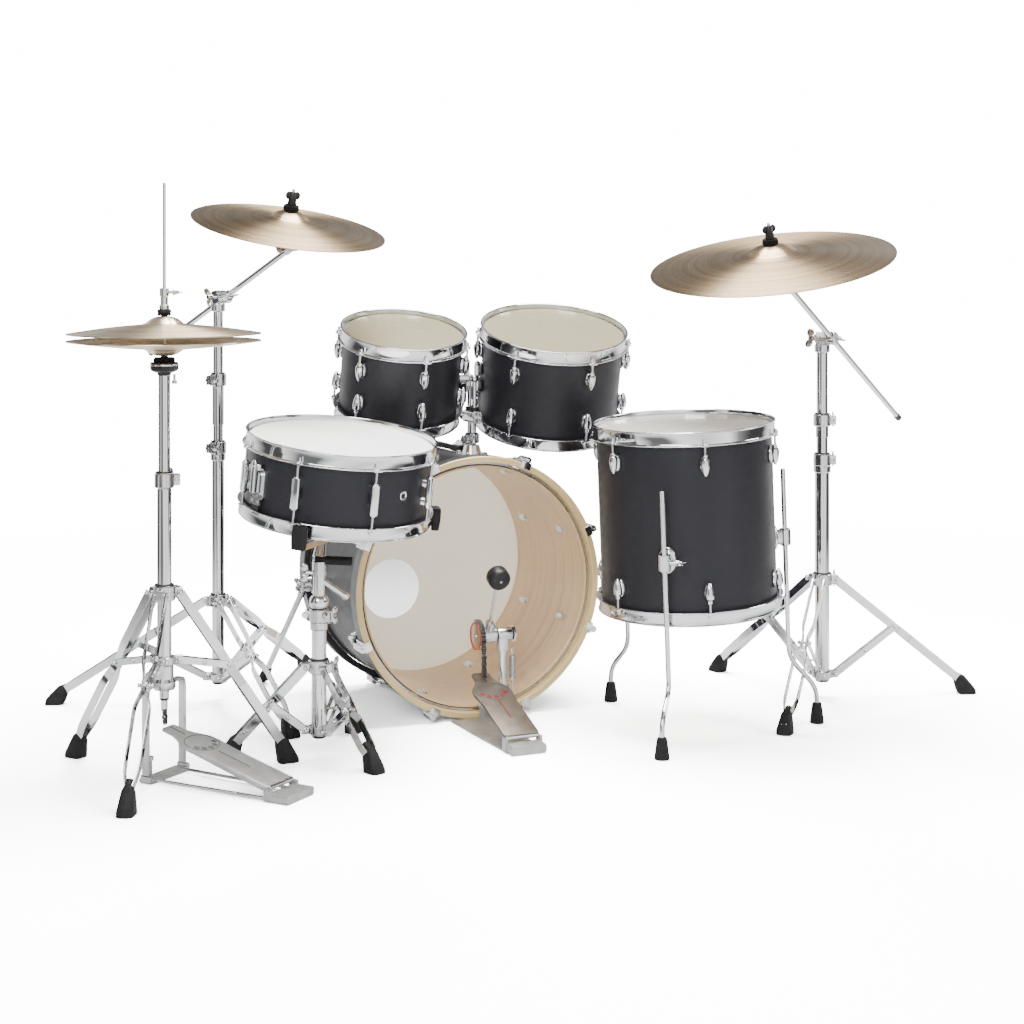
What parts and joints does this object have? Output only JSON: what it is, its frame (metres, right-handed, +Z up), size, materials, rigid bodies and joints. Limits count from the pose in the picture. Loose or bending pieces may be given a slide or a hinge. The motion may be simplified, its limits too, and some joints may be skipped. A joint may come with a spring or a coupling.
{
  "type": "acoustic drum kit",
  "caption": "Acoustic drum kit: bass drum, snare, mounted toms, floor tom, hi-hat, boom stands with cymbals and a bass drum pedal, each drum built from shell, hoops and heads.",
  "frame": {"origin": "middle of the whole kit in plan, on the floor", "axes": "+Z up, +Y along the bass drum from the pedal side to the audience side, +X to the drummer's right"},
  "size_m": [1.9671, 1.1156, 1.1032],
  "materials": {
    "chrome": "polished",
    "shell_lacquer": "satin dark grey lacquer",
    "maple": "natural lacquer with dark outside",
    "bronze": "brushed and lathed",
    "drum_head": "clear film",
    "coated_head": "coated white",
    "steel_wire": "bright wire",
    "cast_alloy": "satin cast"
  },
  "bodies": {
    "floor_standing": {"bass_shell": "shell_lacquer", "bass_batter_hoop": "maple", "bass_front_hoop": "maple", "bass_batter_head": "drum_head", "bass_front_head": "coated_head", "tom_holder_post": "chrome", "floor_tom_leg_1": "chrome", "floor_tom_leg_2": "chrome", "floor_tom_leg_3": "chrome", "snare_stand_base": "chrome", "hihat_chassis": "chrome", "hihat_tripod": "chrome", "crash_base": "chrome", "ride_base": "chrome", "kick_frame": "cast_alloy"},
    "spur_left": {"bass_spur_left": "chrome"},
    "spur_right": {"bass_spur_right": "chrome"},
    "small_tom_arm": {"tom_arm_small": "chrome"},
    "small_tom": {"tom_small_shell": "shell_lacquer", "tom_small_top_hoop": "chrome", "tom_small_bottom_hoop": "chrome", "tom_small_batter_head": "drum_head", "tom_small_bottom_head": "drum_head"},
    "mid_tom_arm": {"tom_arm_mid": "chrome"},
    "mid_tom": {"tom_mid_shell": "shell_lacquer", "tom_mid_top_hoop": "chrome", "tom_mid_bottom_hoop": "chrome", "tom_mid_batter_head": "drum_head", "tom_mid_bottom_head": "drum_head"},
    "floor_tom": {"floor_tom_shell": "shell_lacquer", "floor_tom_top_hoop": "chrome", "floor_tom_bottom_hoop": "chrome", "floor_tom_batter_head": "drum_head", "floor_tom_bottom_head": "drum_head"},
    "snare_riser": {"snare_stand_upper_tube": "chrome"},
    "snare_drum": {"snare_basket": "chrome", "snare_shell": "shell_lacquer", "snare_top_hoop": "chrome", "snare_bottom_hoop": "chrome", "snare_batter_head": "coated_head", "snare_bottom_head": "drum_head", "snare_wires": "steel_wire"},
    "throw_off_lever": {"snare_throw_off_lever": "chrome"},
    "hihat_upper": {"hihat_upper_tube": "chrome"},
    "hihat_bottom": {"hihat_bottom_cymbal": "bronze"},
    "hihat_rod": {"hihat_pull_rod": "chrome"},
    "hihat_clutch": {"hihat_clutch": "chrome"},
    "hihat_top": {"hihat_top_cymbal": "bronze"},
    "hihat_footboard": {"hihat_footboard": "cast_alloy"},
    "crash_upper": {"crash_upper_tube": "chrome"},
    "crash_boom": {"crash_boom": "chrome"},
    "crash_tilter": {"crash_tilter": "chrome"},
    "crash_cymbal": {"crash_cymbal": "bronze"},
    "ride_upper": {"ride_upper_tube": "chrome"},
    "ride_boom": {"ride_boom": "chrome"},
    "ride_tilter": {"ride_tilter": "chrome"},
    "ride_cymbal": {"ride_cymbal": "bronze"},
    "kick_footboard": {"kick_footboard": "cast_alloy"},
    "kick_beater": {"kick_beater": "chrome"}
  },
  "joints": [
    {"name": "spur_left_fold", "type": "hinge", "parent": "floor_standing", "child": "spur_left", "pos_m": [-0.36655, 0.28204, 0.246], "axis": [1, 0, 0], "range_deg": [0, 8]},
    {"name": "spur_right_fold", "type": "hinge", "parent": "floor_standing", "child": "spur_right", "pos_m": [0.15745, 0.28204, 0.246], "axis": [1, 0, 0], "range_deg": [0, 55]},
    {"name": "small_tom_swing", "type": "hinge", "parent": "floor_standing", "child": "small_tom_arm", "pos_m": [-0.05955, 0.09704, 0.65], "axis": [0, 0, 1], "range_deg": [-4, 4]},
    {"name": "small_tom_tilt", "type": "hinge", "parent": "small_tom_arm", "child": "small_tom", "pos_m": [-0.05955, 0.09704, 0.697], "axis": [1, 0, 0], "range_deg": [-8, 8]},
    {"name": "mid_tom_swing", "type": "hinge", "parent": "floor_standing", "child": "mid_tom_arm", "pos_m": [-0.05955, 0.12404, 0.65], "axis": [0, 0, 1], "range_deg": [-4, 4]},
    {"name": "mid_tom_tilt", "type": "hinge", "parent": "mid_tom_arm", "child": "mid_tom", "pos_m": [-0.05955, 0.12404, 0.697], "axis": [1, 0, 0], "range_deg": [-8, 8]},
    {"name": "floor_tom_height", "type": "slide", "parent": "floor_standing", "child": "floor_tom", "axis": [-0.05, -0.02, 0.9986], "range_m": [-0.06, 0.05]},
    {"name": "snare_height", "type": "slide", "parent": "floor_standing", "child": "snare_riser", "axis": [0, 0, 1], "range_m": [-0.015, 0.06]},
    {"name": "snare_tilt", "type": "hinge", "parent": "snare_riser", "child": "snare_drum", "pos_m": [-0.49605, -0.17476, 0.378], "axis": [1, 0, 0], "range_deg": [-3, 3]},
    {"name": "throw_off", "type": "hinge", "parent": "snare_drum", "child": "throw_off_lever", "pos_m": [-0.64626, -0.23374, 0.5216], "axis": [0.2883, -0.947, -0.1419], "range_deg": [0, 75]},
    {"name": "hihat_height", "type": "slide", "parent": "floor_standing", "child": "hihat_upper", "axis": [0, 0, 1], "range_m": [-0.05, 0]},
    {"name": "hihat_bottom_tilt", "type": "hinge", "parent": "hihat_upper", "child": "hihat_bottom", "pos_m": [-0.80555, -0.20896, 0.778], "axis": [1, 0, 0], "range_deg": [-0.5, 0.5]},
    {"name": "hihat_pull", "type": "slide", "parent": "floor_standing", "child": "hihat_rod", "axis": [0, 0, 1], "range_m": [-0.0106, 0]},
    {"name": "hihat_clutch_slide", "type": "slide", "parent": "hihat_rod", "child": "hihat_clutch", "axis": [0, 0, 1], "range_m": [0, 0.05]},
    {"name": "hihat_top_spin", "type": "hinge", "parent": "hihat_clutch", "child": "hihat_top", "pos_m": [-0.80555, -0.20896, 0.84], "axis": [0, 0, 1], "continuous": true},
    {"name": "hihat_pedal", "type": "hinge", "parent": "floor_standing", "child": "hihat_footboard", "pos_m": [-0.64581, -0.41789, 0.024], "axis": [-0.7944, -0.6074, 0], "range_deg": [0, 2.4], "stiffness_Nm_per_rad": 60, "springref_deg": -7.45},
    {"name": "crash_height", "type": "slide", "parent": "floor_standing", "child": "crash_upper", "axis": [0, 0, 1], "range_m": [-0.03, 0.08]},
    {"name": "crash_boom_tilt", "type": "hinge", "parent": "crash_upper", "child": "crash_boom", "pos_m": [-0.56755, 0.31304, 0.872], "axis": [0.8857, 0.4643, 0], "range_deg": [-12, 12]},
    {"name": "crash_cymbal_tilt", "type": "hinge", "parent": "crash_boom", "child": "crash_tilter", "pos_m": [-0.47136, 0.12958, 0.98144], "axis": [0.8857, 0.4643, 0], "range_deg": [-12, 12]},
    {"name": "crash_spin", "type": "hinge", "parent": "crash_tilter", "child": "crash_cymbal", "pos_m": [-0.47136, 0.12958, 0.98144], "axis": [0.067, -0.2509, 0.9657], "continuous": true},
    {"name": "ride_height", "type": "slide", "parent": "floor_standing", "child": "ride_upper", "axis": [0, 0, 1], "range_m": [-0.03, 0.06]},
    {"name": "ride_boom_tilt", "type": "hinge", "parent": "ride_upper", "child": "ride_boom", "pos_m": [0.64545, -0.17796, 0.782], "axis": [0.53, -0.848, 0], "range_deg": [-12, 12]},
    {"name": "ride_cymbal_tilt", "type": "hinge", "parent": "ride_boom", "child": "ride_tilter", "pos_m": [0.44939, -0.30049, 0.90748], "axis": [0.53, -0.848, 0], "range_deg": [-12, 12]},
    {"name": "ride_spin", "type": "hinge", "parent": "ride_tilter", "child": "ride_cymbal", "pos_m": [0.44939, -0.30049, 0.90748], "axis": [-0.213, -0.154, 0.9649], "continuous": true},
    {"name": "kick_pedal", "type": "hinge", "parent": "floor_standing", "child": "kick_footboard", "pos_m": [-0.12655, -0.30996, 0.028], "axis": [-1, 0, 0], "range_deg": [0, 7.5], "stiffness_Nm_per_rad": 8, "springref_deg": -9.17},
    {"name": "kick_strike", "type": "hinge", "parent": "floor_standing", "child": "kick_beater", "pos_m": [-0.10455, -0.08496, 0.18], "axis": [-1, 0, 0], "range_deg": [0, 36.2]}
  ],
  "couplings": [
    {"joint": "hihat_pull", "follows": "hihat_pedal", "m_per_rad": -0.25},
    {"joint": "kick_strike", "follows": "kick_pedal", "ratio": 4.8}
  ]
}
